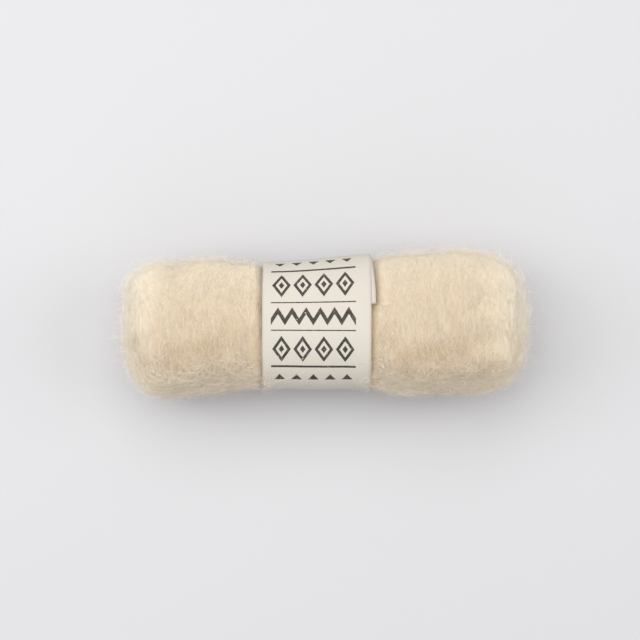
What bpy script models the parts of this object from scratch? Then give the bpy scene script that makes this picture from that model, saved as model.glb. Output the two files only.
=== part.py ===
"""A rolled batt of carded wool held round its middle by a paper band.

The roll lies on its side along X, with its crown up +Z and its lap edge on the -Y side.
The origin is on the surface it lies on, under the middle of its box. Everything is in metres.
"""

import functools
import math

import bmesh
import bpy

MM = 0.001

# The paper band, cut as a strip and wrapped round the roll past its own end.
STRIP_WIDTH = 50 * MM
STRIP_LENGTH = 210 * MM
STRIP_THICKNESS = 1.0 * MM
STRIP_CENTRE_X = -3.8 * MM
CLEARANCE = 0.55 * MM
UNDERLAP_START = 18.5  # degrees past the crown, towards +Y, where the covered end lies
UNDERLAP_SKEW = 2.2 * MM  # how far the covered end sits towards +X
SKEW_RUN = 75  # degrees over which the strip comes back square
DIVE_LEAD = 3  # degrees that the strip stays under past its outer end
DIVE_RUN = 26  # degrees over which it then comes up
STRIP_STEP = 6  # degrees between the strip's folds
STRIP_COLUMNS = 5  # faces across the strip
BAND_PAPER = {"colour": (0.82, 0.80, 0.75), "roughness": 0.75}

# The roll's sections: half_width is along Y, and bottom and crown are heights.
# A bottom below the surface is pressed flat on it. Inside the band they give its outer face.
COLUMNS = ("x", "centre_y", "half_width", "bottom", "crown")
SECTIONS_MM = (
    (-97.0, -3.4, 34.0, -1.0, 52.0),
    (-81.5, -3.5, 34.2, -1.3, 53.0),
    (-69.5, -3.5, 34.2, -1.6, 54.0),
    (-58.0, -1.9, 33.4, -1.4, 53.6),
    (-47.0, -1.1, 32.9, -1.0, 53.0),
    (-36.5, -1.2, 31.9, 0.0, 52.0),
    (-30.5, -0.9, 30.1, 1.6, 50.3),
    (-4.0, -0.1, 30.9, 1.2, 50.8),
    (22.5, 1.2, 32.2, 1.0, 52.0),
    (28.5, 0.3, 34.0, 0.0, 54.0),
    (35.5, -0.4, 35.2, -1.0, 55.6),
    (49.0, 0.0, 35.8, -1.5, 57.0),
    (63.0, 0.7, 36.0, -1.6, 57.4),
    (74.5, 0.5, 35.0, -1.5, 56.4),
    (97.0, 0.5, 34.2, -1.2, 55.0),
)
SQUARENESS = 2.2  # of the sections and domes, where 2 is an ellipse

# The rounded ends: where each dome starts, its pole, and how far the pole is off the centre.
END_COLUMNS = ("start_x", "pole_x", "pole_shift_y", "pole_z")
ENDS_MM = (
    (-76.5, -98.6, 8.0, 27.0),
    (72.8, 98.6, -3.0, 28.5),
)
END_SHIFT_POWER = 1.5

# The winding that shows on the ends and along the lap edge. A size is a share of the end's radius.
TURNS = 3.2
LAP_ANGLE = 143  # degrees from +Y over the crown
LAP_HEIGHT = 2.0 * MM
LAP_RUN = 9  # degrees over which the feathered edge thins out
GROOVE_DEPTH = 2.6 * MM
GROOVE_SHARPNESS = 2
GROOVE_FADE_IN = (0.04, 0.25)
GROOVE_FADE_OUT = (0.80, 0.97)
CORE_DIMPLE = 3.0 * MM
CORE_SIZE = 0.22

# Slow lumps of the soft surface: height, waves along the roll, waves round it, phase.
LUMP_COLUMNS = ("height", "along", "round", "phase")
LUMPS = (
    (0.45 * MM, 3.0, 2, 0.6),
    (0.35 * MM, 5.0, 3, 2.1),
    (0.25 * MM, 8.0, 5, 4.0),
)
LUMPS_FADE_IN = (2 * MM, 14 * MM)  # distances from the band
CARDED_WOOL = {"colour": (0.78, 0.68, 0.52), "roughness": 0.95}

# Where the wool starts to sink deeper for the strip's covered end, in degrees before it.
HOLLOW_LEAD = (14, 5)

# Mesh density and shading.
RING_POINTS = 68
DOME_RINGS = 15
BODY_STEP = 6.5 * MM
BAND_RINGS = 8
SHOULDER = 2.4 * MM  # the roll sinks under the band over this length
SHOULDER_STEPS = 3
SHARP_ANGLE = math.radians(40)

STRIP_LOW_X = STRIP_CENTRE_X - STRIP_WIDTH / 2
STRIP_HIGH_X = STRIP_CENTRE_X + STRIP_WIDTH / 2
SEAT_LOW_X = STRIP_LOW_X - CLEARANCE
SEAT_HIGH_X = STRIP_HIGH_X + UNDERLAP_SKEW + CLEARANCE
LAYER = STRIP_THICKNESS + CLEARANCE

SECTIONS = [
    {name: value * MM for name, value in zip(COLUMNS, row)} for row in SECTIONS_MM
]
ENDS = [{name: value * MM for name, value in zip(END_COLUMNS, row)} for row in ENDS_MM]


def smooth(low, high, value):
    """0 below low, 1 above high, and an even rise between them."""
    share = min(1.0, max(0.0, (value - low) / (high - low)))
    return share * share * (3 - 2 * share)


def section_at(x):
    """The section's sizes at x, on smooth curves through the rows of the table."""
    last = len(SECTIONS) - 2
    i = min(last, max(0, sum(row["x"] <= x for row in SECTIONS) - 1))
    rows = [SECTIONS[min(last + 1, max(0, k))] for k in (i - 1, i, i + 1, i + 2)]
    span = rows[2]["x"] - rows[1]["x"]
    t = (x - rows[1]["x"]) / span

    def slope(before, after, name):
        return (after[name] - before[name]) / (after["x"] - before["x"]) * span

    found = {}
    for name in COLUMNS[1:]:
        found[name] = (
            (2 * t**3 - 3 * t**2 + 1) * rows[1][name]
            + (t**3 - 2 * t**2 + t) * slope(rows[0], rows[2], name)
            + (3 * t**2 - 2 * t**3) * rows[2][name]
            + (t**3 - t**2) * slope(rows[1], rows[3], name)
        )
    return found


def superellipse(angle):
    """(across, up) on a unit outline."""
    power = 2 / SQUARENESS
    across, up = math.cos(angle), math.sin(angle)
    return (
        math.copysign(abs(across) ** power, across),
        math.copysign(abs(up) ** power, up),
    )


def skin(x, angle, depth, size=1.0):
    """(y, z) on the section at x, depth under its surface. The angle runs from +Y over the crown."""
    row = section_at(x)
    middle = (row["crown"] + row["bottom"]) / 2
    half_height = (row["crown"] - row["bottom"]) / 2
    across, up = superellipse(angle)
    y = row["centre_y"] + (row["half_width"] - depth) * size * across
    z = middle + (half_height - depth) * size * up
    return y, z


def turn_of(angle):
    """Degrees past the crown towards +Y, from 0 to 360."""
    return (90 - math.degrees(angle)) % 360


def strip_depth(turned):
    """How deep the strip's outer face lies: its covered end runs under its outer end."""
    covered_until = strip_end() - 360 + DIVE_LEAD
    return LAYER * (1 - smooth(covered_until, covered_until + DIVE_RUN, turned))


def seat_depth(x, angle):
    """How far the wool sinks under the band, and further under the strip's covered end."""
    along = smooth(SEAT_LOW_X - SHOULDER, SEAT_LOW_X, x) * (
        1 - smooth(SEAT_HIGH_X, SEAT_HIGH_X + SHOULDER, x)
    )
    turned = turn_of(angle)
    hollow_from, hollow_at = (UNDERLAP_START - lead for lead in HOLLOW_LEAD)
    hollow = strip_depth(turned) * smooth(hollow_from, hollow_at, turned)
    return along * (LAYER + hollow)


def lap_offset(angle):
    """The spiral's growth over one turn, which drops at the lap edge."""
    turned = (math.degrees(angle) - LAP_ANGLE) % 360
    drop = smooth(360 - LAP_RUN, 360, turned)
    return LAP_HEIGHT * ((turned / 360) * (1 - drop) - 0.5)


def lumps(x, angle):
    """The soft surface's slow lumps."""
    total = 0.0
    for row in LUMPS:
        lump = dict(zip(LUMP_COLUMNS, row))
        wave = math.sin(lump["along"] * math.pi * x / ENDS[1]["pole_x"] + lump["phase"])
        total += lump["height"] * wave * math.cos(lump["round"] * angle + lump["phase"])
    return total


def free_of_band(x):
    """0 under the band and 1 well away from it."""
    near = min(abs(x - STRIP_LOW_X), abs(x - STRIP_HIGH_X))
    outside = x < STRIP_LOW_X or x > STRIP_HIGH_X
    return smooth(*LUMPS_FADE_IN, near) if outside else 0.0


def roll_depth(x, angle):
    """Depth of the wool's surface under the table's section."""
    free = free_of_band(x)
    return seat_depth(x, angle) - free * (lap_offset(angle) + lumps(x, angle))


def ring_angles():
    return [2 * math.pi * i / RING_POINTS for i in range(RING_POINTS)]


def body_ring(x):
    points = []
    for angle in ring_angles():
        y, z = skin(x, angle, roll_depth(x, angle))
        points.append((x, y, max(0.0, z)))
    return points


def winding_groove(size, angle):
    """How far the end's surface sinks between two turns of the winding."""
    phase = (size - 1) * TURNS - (math.degrees(angle) - LAP_ANGLE) / 360
    valley = (0.5 + 0.5 * math.cos(2 * math.pi * phase)) ** GROOVE_SHARPNESS
    shown = smooth(*GROOVE_FADE_IN, size) * (1 - smooth(*GROOVE_FADE_OUT, size))
    return GROOVE_DEPTH * valley * shown + CORE_DIMPLE * math.exp(-((size / CORE_SIZE) ** 2))


def dome_ring(end, latitude):
    """One ring of a rounded end. The latitude is 0 where the dome starts."""
    size, height = superellipse(latitude)
    reach = end["pole_x"] - end["start_x"]
    x = end["start_x"] + reach * height
    inwards = -math.copysign(1, reach)
    lean = 1 - size**END_SHIFT_POWER
    row = section_at(x)
    middle = (row["crown"] + row["bottom"]) / 2
    points = []
    for angle in ring_angles():
        y, z = skin(x, angle, roll_depth(x, angle), size)
        y += end["pole_shift_y"] * lean
        z += (end["pole_z"] - middle) * lean
        sunk = inwards * winding_groove(size, angle)
        points.append((x + sunk, y, max(0.0, z)))
    return points


def spread(low, high, step):
    """Even stations from low to high, both ends included, no further apart than step."""
    count = max(1, math.ceil((high - low) / step))
    return [low + (high - low) * i / count for i in range(count + 1)]


def body_stations():
    """Where the roll's rings stand between its domes, close together at the band's edges."""
    shoulder_step = SHOULDER / SHOULDER_STEPS
    stations = spread(ENDS[0]["start_x"], SEAT_LOW_X - SHOULDER, BODY_STEP)
    stations += spread(SEAT_LOW_X - SHOULDER, SEAT_LOW_X, shoulder_step)[1:]
    stations += spread(SEAT_LOW_X, SEAT_HIGH_X, (SEAT_HIGH_X - SEAT_LOW_X) / BAND_RINGS)[1:]
    stations += spread(SEAT_HIGH_X, SEAT_HIGH_X + SHOULDER, shoulder_step)[1:]
    stations += spread(SEAT_HIGH_X + SHOULDER, ENDS[1]["start_x"], BODY_STEP)[1:]
    return stations


def add_loop(mesh, points):
    """A closed loop of edges through the points."""
    verts = [mesh.verts.new(point) for point in points]
    for i, vert in enumerate(verts):
        mesh.edges.new((vert, verts[(i + 1) % len(verts)]))
    return verts


def cap(mesh, ring, centre):
    """A fan from a ring to its pole."""
    pole = mesh.verts.new(centre)
    for i, vert in enumerate(ring):
        mesh.faces.new((vert, ring[(i + 1) % len(ring)], pole))


def object_from(name, mesh, material):
    """Makes a smooth-shaded object of a bmesh."""
    data = bpy.data.meshes.new(name)
    mesh.to_mesh(data)
    mesh.free()
    data.shade_smooth()
    data.set_sharp_from_angle(angle=SHARP_ANGLE)
    data.materials.append(material)
    obj = bpy.data.objects.new(name, data)
    bpy.context.scene.collection.objects.link(obj)
    return obj


def plain_material(name, colour, roughness):
    material = bpy.data.materials.new(name)
    material.use_nodes = True
    shader = material.node_tree.nodes["Principled BSDF"]
    shader.inputs["Base Color"].default_value = (*colour, 1.0)
    shader.inputs["Roughness"].default_value = roughness
    shader.inputs["Metallic"].default_value = 0.0
    return material


def make_roll(material):
    """The wound wool: rings bridged from one pole to the other."""
    latitudes = [math.pi / 2 * i / DOME_RINGS for i in range(1, DOME_RINGS)]
    left, right = ENDS
    rings = [dome_ring(left, latitude) for latitude in reversed(latitudes)]
    rings += [body_ring(x) for x in body_stations()]
    rings += [dome_ring(right, latitude) for latitude in latitudes]
    mesh = bmesh.new()
    loops = [add_loop(mesh, ring) for ring in rings]
    for near, far in zip(loops, loops[1:]):
        for i, vert in enumerate(near):
            j = (i + 1) % RING_POINTS
            mesh.faces.new((vert, near[j], far[j], far[i]))
    for end, loop in ((left, loops[0]), (right, loops[-1])):
        inwards = math.copysign(CORE_DIMPLE, -end["pole_x"])
        row = section_at(end["pole_x"])
        pole_y = row["centre_y"] + end["pole_shift_y"]
        cap(mesh, loop, (end["pole_x"] + inwards, pole_y, end["pole_z"]))
    bmesh.ops.recalc_face_normals(mesh, faces=mesh.faces)
    return object_from("wool_roll", mesh, material)


def strip_point(x, turned, depth):
    y, z = skin(x, math.radians(90 - turned), depth)
    return x, y, z


@functools.cache
def strip_end():
    """Degrees past the crown at which the strip has used up its length."""
    turned, used = UNDERLAP_START, 0.0
    here = strip_point(STRIP_CENTRE_X, turned, STRIP_THICKNESS / 2)
    while used < STRIP_LENGTH:
        turned += 1
        there = strip_point(STRIP_CENTRE_X, turned, STRIP_THICKNESS / 2)
        used += math.dist(here, there)
        here = there
    return turned


def make_band(material):
    """The paper strip, wrapped from its covered end round to its outer end."""
    end = strip_end()
    folds = round((end - UNDERLAP_START) / STRIP_STEP)
    mesh = bmesh.new()
    rows = []
    for i in range(folds + 1):
        turned = UNDERLAP_START + (end - UNDERLAP_START) * i / folds
        skew = UNDERLAP_SKEW * (1 - smooth(0, SKEW_RUN, turned - UNDERLAP_START))
        depth = strip_depth(turned)
        low, high = STRIP_LOW_X + skew, STRIP_HIGH_X + skew
        columns = spread(low, high, STRIP_WIDTH / STRIP_COLUMNS)
        rows.append([mesh.verts.new(strip_point(x, turned, depth)) for x in columns])
    for near, far in zip(rows, rows[1:]):
        for k in range(STRIP_COLUMNS):
            mesh.faces.new((near[k], near[k + 1], far[k + 1], far[k]))
    band = object_from("paper_band", mesh, material)
    wall = band.modifiers.new("paper", "SOLIDIFY")
    wall.thickness = STRIP_THICKNESS
    wall.use_even_offset = True
    return band


def main():
    for obj in list(bpy.data.objects):
        bpy.data.objects.remove(obj)
    make_roll(plain_material("carded_wool", **CARDED_WOOL))
    make_band(plain_material("band_paper", **BAND_PAPER))


main()
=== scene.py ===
"""The looks of a short roll of carded wool that a paper band holds together.

The wool is a soft core in the shape of the frame's roll, under joined meshes of carded fibres:
a nap that lies round the roll, a haze of lofted fibres over it, a frayed lap edge, strays, and
curls beside the band. The band is a flat strip of printed paper, wrapped round the roll and over
its own end.
Everything is in metres, in the frame's own axes: X along the roll and Z up.
"""

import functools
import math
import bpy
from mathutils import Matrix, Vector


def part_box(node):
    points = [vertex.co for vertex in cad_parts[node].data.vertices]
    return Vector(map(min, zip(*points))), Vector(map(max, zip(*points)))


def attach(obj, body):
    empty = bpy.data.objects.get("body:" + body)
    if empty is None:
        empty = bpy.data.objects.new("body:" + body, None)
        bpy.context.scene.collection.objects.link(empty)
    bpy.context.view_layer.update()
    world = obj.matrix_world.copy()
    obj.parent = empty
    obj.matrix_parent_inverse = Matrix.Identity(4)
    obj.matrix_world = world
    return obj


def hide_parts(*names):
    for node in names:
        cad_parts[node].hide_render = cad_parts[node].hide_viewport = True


bl_info = {
    "name": "Rolled Wool Batt",
    "version": (1, 0, 0),
    "blender": (4, 5, 0),
    "location": "3D View > Sidebar > Wool Batt",
    "description": "Models a banded roll of carded wool round its packed frame",
    "category": "Object",
}

import bpy
import numpy as np
from bpy.props import FloatProperty, FloatVectorProperty, IntProperty, PointerProperty
from mathutils import Vector
from mathutils.bvhtree import BVHTree

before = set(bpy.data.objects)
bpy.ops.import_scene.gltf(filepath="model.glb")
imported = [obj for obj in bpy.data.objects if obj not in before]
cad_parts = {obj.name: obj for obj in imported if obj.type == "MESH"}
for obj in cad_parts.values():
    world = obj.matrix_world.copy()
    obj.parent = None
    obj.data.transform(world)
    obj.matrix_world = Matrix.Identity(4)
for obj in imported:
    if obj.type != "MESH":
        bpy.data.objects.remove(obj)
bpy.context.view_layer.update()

MM = 0.001
ROLL_NODE = "wool_roll"
BAND_NODE = "paper_band"

# The table of the roll's surface: rows from pole to pole, columns round it. A share of a dome is
# 0 at the roll's pole, 1 where the straight body starts, and more along it. Distances to the band
# are measured inwards from its edge, so they are below 0 outside it.
DOME_INSET = 30 * MM  # from each end of the roll to the centre of its rounded end
DOME_ROWS = 46
BODY_ROW_STEP = 1.1 * MM
SKIN_COLUMNS = 220
SKIN_SMOOTHING = 4  # rounds, everywhere
SOFT_SMOOTHING = 30  # further rounds, at the rims of the domes and along the lap edge
SOFT_RIM = ((0.30, 0.55), (0.8, 1.3))  # shares of a dome where that comes in and goes out
LAP_SOFTNESS = 0.6  # of those further rounds
LAP_REACH = math.radians(25)
LAP_FADE = (0.3, 0.7)  # shares of a dome where the lap's softness comes in
RIM_FULLNESS = 1.3 * MM  # how far the firm wool swells at the rims
FULL_RIM = ((0.2, 0.5), (0.6, 0.95))  # shares of a dome where that comes in and goes out
LUMPS_STOP = (-4 * MM, 0.0)  # where the lumps come to an end beside the band

# The haze is thinner beside the band and low down, and deeper at the ends.
THIN_BESIDE_BAND = (-9 * MM, -1 * MM)
THIN_BY_BAND = 0.7
LOW_HEIGHT = 13 * MM
THIN_LOW_DOWN = 0.85
DEEP_ENDS = 0.85  # the share of a dome where the deeper haze of the ends comes to an end

# The soft lumps of the firm wool: how many waves make them, how long those are and their height.
LUMPS = (
    {"waves": 18, "size": 26 * MM, "height": 0.30 * MM},
    {"waves": 40, "size": 9 * MM, "height": 0.05 * MM},
)

# The core's mesh and the small tufts on it. It swells into the seat under the band.
CORE_ROWS = 160
CORE_COLUMNS = 200
CORE_LEAST_HEIGHT = 0.1 * MM  # over the surface that the roll lies on
SEAT_RISE = (0.3 * MM, 2.3 * MM)
TUFT_SIZE = 2.2 * MM
TUFT_HEIGHT = 0.03 * MM
TUFTS_STOP = (-3 * MM, 0.0)

# The lap edge runs along the roll, at this angle from +Y over the crown.
LAP_ANGLE = math.radians(141)

# Angles are measured from the roll's own axis, so a right angle goes round it.
ROUND_THE_ROLL = math.pi / 2


def node_faces(node):
    """A CAD node's faces, for rays to strike."""
    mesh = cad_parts[node].data
    corners = [vertex.co for vertex in mesh.vertices]
    return BVHTree.FromPolygons(corners, [face.vertices for face in mesh.polygons])


def vertex_places(mesh):
    flat = np.empty(len(mesh.vertices) * 3)
    mesh.vertices.foreach_get("co", flat)
    return flat.reshape(-1, 3)


def set_attribute(mesh, name, values):
    """Gives each vertex its value."""
    made = mesh.attributes.new(name, "FLOAT", "POINT")
    made.data.foreach_set("value", values.astype(np.float32))


LEAST_LENGTH = 1e-12  # so that nothing is divided by 0


def unit(vectors):
    """The vectors at length 1."""
    lengths = np.linalg.norm(vectors, axis=-1, keepdims=True)
    return vectors / np.maximum(lengths, LEAST_LENGTH)


def rise(low, high, values):
    """0 at low and before it, 1 at high and past it, and a smooth rise between them."""
    share = np.clip((np.asarray(values) - low) / (high - low), 0, 1)
    return share * share * (3 - 2 * share)


def dome_shares(rows):
    """How far each row is from the nearer pole, as a share of a dome."""
    row = np.arange(rows)[:, None]
    return np.minimum(row, rows - 1 - row) / DOME_ROWS


WAVE_MIX = (0.6, 1.4)  # how fast the waves of a field are, against what its size gives


def waves(count, size, places):
    """A smooth field of crossing waves over the places, with a spread of about 1."""
    rng = np.random.default_rng(count)
    ways = unit(rng.normal(size=(count, 3))) * (2 * math.pi / size)
    ways *= rng.uniform(*WAVE_MIX, (count, 1))
    phases = rng.uniform(0, 2 * math.pi, count)
    return np.sin(places @ ways.T + phases).sum(-1) / math.sqrt(count / 2)


# ------------------------------------------------------------------ settings


def length_setting(name, description, default, least=0.0):
    return FloatProperty(
        name=name, description=description, default=default, min=least, unit="LENGTH"
    )


def number_setting(name, description, default, least=0.0):
    return FloatProperty(name=name, description=description, default=default, min=least)


def colour_setting(name, description, default):
    return FloatVectorProperty(
        name=name, description=description, default=default, min=0.0, max=1.0, subtype="COLOR"
    )


THINNEST = 0.01 * MM  # that a fibre may be set to


class WoolSettings(bpy.types.PropertyGroup):
    """The wool's sizes and colours."""

    haze: length_setting("Haze", "Depth of the loose fibres round the firm wool", 3.2 * MM)
    end_haze: length_setting("End haze", "Depth of the loose fibres at the roll's ends", 7.5 * MM)
    depth: length_setting("Core depth", "How far the core lies under the lying fibres", 0.12 * MM)
    seat_lift: length_setting("Seat lift", "How far the core swells up under the band", 1.3 * MM)
    fibre_width: length_setting(
        "Fibre width", "Thickness of a lying wisp of fibres at its middle", 0.075 * MM, THINNEST
    )
    stray_width: length_setting(
        "Stray width", "Thickness of a fibre that stands off the roll", 0.046 * MM, THINNEST
    )
    pale: colour_setting("Pale wool", "Colour of the palest wool", (0.945, 0.875, 0.755))
    cream: colour_setting("Cream wool", "Colour of most of the wool", (0.768, 0.664, 0.506))
    tan: colour_setting("Tan wool", "Colour of the darkest wool", (0.58, 0.45, 0.29))
    loose: colour_setting(
        "Loose fibres", "Colour of single fibres that stand off the roll", (0.985, 0.915, 0.785)
    )
    frayed: colour_setting(
        "Frayed fibres", "Colour of the fibres along the lap edge", (0.99, 0.89, 0.74)
    )
    seed: IntProperty(name="Seed", description="Where the fibres fall", default=7, min=0)


class BandSettings(bpy.types.PropertyGroup):
    """The paper band's sizes and colours."""

    width: length_setting("Width", "Width of the strip of paper", 50 * MM)
    length: length_setting("Length", "Length of the strip of paper", 210 * MM)
    thickness: length_setting("Thickness", "Thickness of the paper", 0.22 * MM)
    paper: colour_setting("Paper", "Colour of the bare paper", (0.53, 0.488, 0.425))
    ink: colour_setting("Ink", "Colour of the printed border pattern", (0.030, 0.026, 0.020))


class StageSettings(bpy.types.PropertyGroup):
    """The camera and the lights."""

    lens: number_setting("Lens", "Focal length in millimetres", 100.0, least=1.0)
    view_width: length_setting(
        "View width", "How wide the view is at the height of the roll's middle", 300.8 * MM
    )
    view_centre: FloatVectorProperty(
        name="View centre",
        description="The point over which the camera stands",
        size=2,
        default=(-2.35 * MM, 1.9 * MM),
        unit="LENGTH",
    )
    window_power: number_setting(
        "Window light", "Power of the large soft light beyond the roll, in watts", 13.6
    )
    side_power: number_setting(
        "Side lights", "Power of each soft light past the roll's ends, in watts", 7.0
    )
    front_power: number_setting(
        "Front light", "Power of the faint light on the near side, in watts", 1.2
    )
    room_light: number_setting("Room light", "Strength of the light from all round", 0.525)
    surface: colour_setting("Surface", "Colour of the floor", (0.548, 0.545, 0.558))


class BattSettings(bpy.types.PropertyGroup):
    """All the settings of the roll."""

    wool: PointerProperty(type=WoolSettings)
    band: PointerProperty(type=BandSettings)
    stage: PointerProperty(type=StageSettings)


# ------------------------------------------------------------------ shader maths


def sum_of(operation, flipped=False):
    """One of a wire's operators, with the wire as the last value where it is flipped."""

    def operator(wire, *others):
        values = (*others, wire) if flipped else (wire, *others)
        return wire.maths(operation, *values)

    return operator


class Wire:
    """A shader socket that Python's arithmetic works on: each operation adds a Math node."""

    def __init__(self, finish, socket):
        self.finish = finish
        self.socket = socket

    def maths(self, operation, *values):
        inputs = dict(enumerate(values))
        return self.finish.node("ShaderNodeMath", {"operation": operation}, inputs)

    __add__ = __radd__ = sum_of("ADD")
    __sub__, __rsub__ = sum_of("SUBTRACT"), sum_of("SUBTRACT", flipped=True)
    __mul__ = __rmul__ = sum_of("MULTIPLY")
    __truediv__ = sum_of("DIVIDE")
    __lt__, __gt__ = sum_of("LESS_THAN"), sum_of("GREATER_THAN")
    __abs__ = sum_of("ABSOLUTE")


class Finish:
    """A material being made. Its nodes all come from one method."""

    def __init__(self, name):
        self.material = bpy.data.materials.new(name)
        self.material.use_nodes = True
        self.tree = self.material.node_tree
        self.shader = self.tree.nodes["Principled BSDF"]

    def feed(self, socket, value):
        """Links a wire to a socket, or sets the socket's value."""
        if isinstance(value, Wire):
            self.tree.links.new(value.socket, socket)
        elif socket.type == "RGBA" and len(value) == 3:
            socket.default_value = (*value, 1.0)
        else:
            socket.default_value = value

    def node(self, kind, settings=None, inputs=None, output=0):
        """Adds a node: its settings first, then the values or links of its sockets."""
        made = self.tree.nodes.new(kind)
        for name, value in (settings or {}).items():
            if name == "stops":
                self.set_stops(made.color_ramp, value)
            else:
                setattr(made, name, value)
        for name, value in (inputs or {}).items():
            self.feed(made.inputs[name], value)
        return Wire(self, made.outputs[output])

    def set_stops(self, ramp, stops):
        """A ramp's stops as {place: colour}."""
        while len(ramp.elements) < len(stops):
            ramp.elements.new(0.5)
        for element, (place, colour) in zip(ramp.elements, stops.items()):
            element.position = place
            element.color = (*colour, 1.0)

    def set(self, values):
        """Sets or links the shader's own sockets."""
        for name, value in values.items():
            self.feed(self.shader.inputs[name], value)

    def mix(self, factor, first, second):
        """A colour between two."""
        inputs = {0: factor, 6: first, 7: second}
        return self.node("ShaderNodeMix", {"data_type": "RGBA"}, inputs, output=2)

    def places(self, scale=(1.0, 1.0, 1.0)):
        """The piece's own coordinates, in metres times scale."""
        own = self.node("ShaderNodeTexCoord", output=3)
        return self.node("ShaderNodeMapping", None, {"Vector": own, "Scale": scale})

    def noise(self, vector, scale, detail=2.0, roughness=0.5):
        inputs = {"Vector": vector, "Scale": scale, "Detail": detail, "Roughness": roughness}
        return self.node("ShaderNodeTexNoise", None, inputs)

    def output_of(self, wire, output):
        """Another output of the node that a wire comes from."""
        return Wire(self, wire.socket.node.outputs[output])

    def attribute(self, name):
        return self.node("ShaderNodeAttribute", {"attribute_name": name}, output=2)

    def bump(self, height, strength, distance):
        inputs = {"Height": height, "Strength": strength, "Distance": distance}
        self.set({"Normal": self.node("ShaderNodeBump", None, inputs)})


# ------------------------------------------------------------------ the roll's surface


class Skin:
    """The frame's roll as a smooth table of places, which fibres can crawl over."""

    def __init__(self, node):
        self.tree = node_faces(node)
        low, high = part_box(node)
        self.low, self.high = low, high
        self.middle_y = (low.y + high.y) / 2
        self.middle_z = (low.z + high.z) / 2
        self.points = self.smoothed(self.cast_rows())
        self.rows, self.columns = self.points.shape[:2]
        self.measure()
        self.haze = self.haze_depth()
        inwards = unit(np.array(self.origins, float) - self.points)
        self.points += inwards * (self.haze - self.lumps() - self.fullness())[..., None]
        self.measure()

    def spine(self):
        """Where each row's rays start along the roll, and their tilt from its axis."""
        left, right = self.low.x + DOME_INSET, self.high.x - DOME_INSET
        body_rows = round((right - left) / BODY_ROW_STEP)
        body = [left + (right - left) * i / body_rows for i in range(body_rows + 1)]
        starts = [left] * DOME_ROWS + body + [right] * DOME_ROWS
        rising = [math.pi - i / DOME_ROWS * math.pi / 2 for i in range(DOME_ROWS)]
        falling = [(1 - i / DOME_ROWS) * math.pi / 2 for i in range(1, DOME_ROWS + 1)]
        return starts, rising + [math.pi / 2] * len(body) + falling

    def cast_rows(self):
        rows, self.origins = [], []
        for start, tilt in zip(*self.spine()):
            origin = Vector((start, self.middle_y, self.middle_z))
            row = []
            for j in range(SKIN_COLUMNS):
                angle = 2 * math.pi * j / SKIN_COLUMNS
                out = Vector((0.0, math.cos(angle), math.sin(angle))) * math.sin(tilt)
                out.x = math.cos(tilt)
                row.append(self.tree.ray_cast(origin, out)[0])
            rows.append(row)
            self.origins.append([origin])
        return np.array(rows, float)

    def smoothed(self, points):
        """Rounds off the facets. The poles stay where they are."""
        shares = dome_shares(len(points))
        at_rim = rise(*SOFT_RIM[0], shares) - rise(*SOFT_RIM[1], shares)
        column = np.arange(points.shape[1])
        past_lap = 2 * math.pi * column / len(column) - LAP_ANGLE
        at_lap = LAP_SOFTNESS * np.exp(-((past_lap / LAP_REACH) ** 2))
        softer = np.maximum(at_rim, at_lap * rise(*LAP_FADE, shares))[..., None]
        for i in range(SKIN_SMOOTHING + SOFT_SMOOTHING):
            even = (np.roll(points, 1, 1) + np.roll(points, -1, 1)) / 4 + points / 2
            even[1:-1] = (even[:-2] + even[2:]) / 4 + even[1:-1] / 2
            points += (even - points) * (1.0 if i < SKIN_SMOOTHING else softer)
        for pole in (0, -1):
            points[pole] = points[pole].mean(0)
        return points

    def haze_depth(self):
        """How far the firm wool lies under the outline, which only loose fibres reach."""
        wool = bpy.context.scene.batt.wool
        at_end = 1 - rise(0.0, DEEP_ENDS, dome_shares(self.rows))
        depth = wool.haze + (wool.end_haze - wool.haze) * at_end
        beside_band = rise(*THIN_BESIDE_BAND, band_reach(self.points))
        under = 1 - rise(0.0, LOW_HEIGHT, self.points[..., 2])
        return depth * (1 - THIN_BY_BAND * beside_band) * (1 - THIN_LOW_DOWN * under)

    def fullness(self):
        """How far the firm wool swells where the body turns into its rounded ends."""
        shares = dome_shares(self.rows)
        return RIM_FULLNESS * (rise(*FULL_RIM[0], shares) - rise(*FULL_RIM[1], shares))

    def lumps(self):
        """How far the firm wool's lumps stand out. The band presses them flat."""
        heights = sum(
            lump["height"] * waves(lump["waves"], lump["size"], self.points) for lump in LUMPS
        )
        return heights * self.open_wool(LUMPS_STOP)

    def open_wool(self, stop):
        """1 in the open and 0 under the band, falling between the two distances to it."""
        return 1 - rise(*stop, band_reach(self.points))

    def measure(self):
        """Steps along the rows and columns, normals and the area that each cell covers."""
        self.along = np.gradient(self.points, axis=0)
        self.around = (np.roll(self.points, -1, 1) - np.roll(self.points, 1, 1)) / 2
        across = np.cross(self.around, self.along)
        self.cell = np.linalg.norm(across, axis=2)
        normals = unit(across)
        # The cells at a pole are too thin to have normals, so the next row lends its mean one.
        for near, far in ((slice(0, 3), 3), (slice(-3, None), -4)):
            normals[near] = unit(normals[far].mean(0))
        self.normals = unit(normals)

    def read(self, table, row, column):
        """A table's values at fractional rows and columns."""
        row = np.clip(row, 0, self.rows - 1)
        r0 = np.minimum(row.astype(int), self.rows - 2)
        c0 = np.floor(column).astype(int)
        part_row = (row - r0)[:, None]
        part_column = (column - c0)[:, None]
        c0, c1 = c0 % self.columns, (c0 + 1) % self.columns
        near = table[r0, c0] * (1 - part_column) + table[r0, c1] * part_column
        far = table[r0 + 1, c0] * (1 - part_column) + table[r0 + 1, c1] * part_column
        return near * (1 - part_row) + far * part_row

    def haze_at(self, start):
        """The depth of the haze at fractional rows and columns."""
        return self.read(self.haze[..., None], *start)[:, 0]

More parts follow.
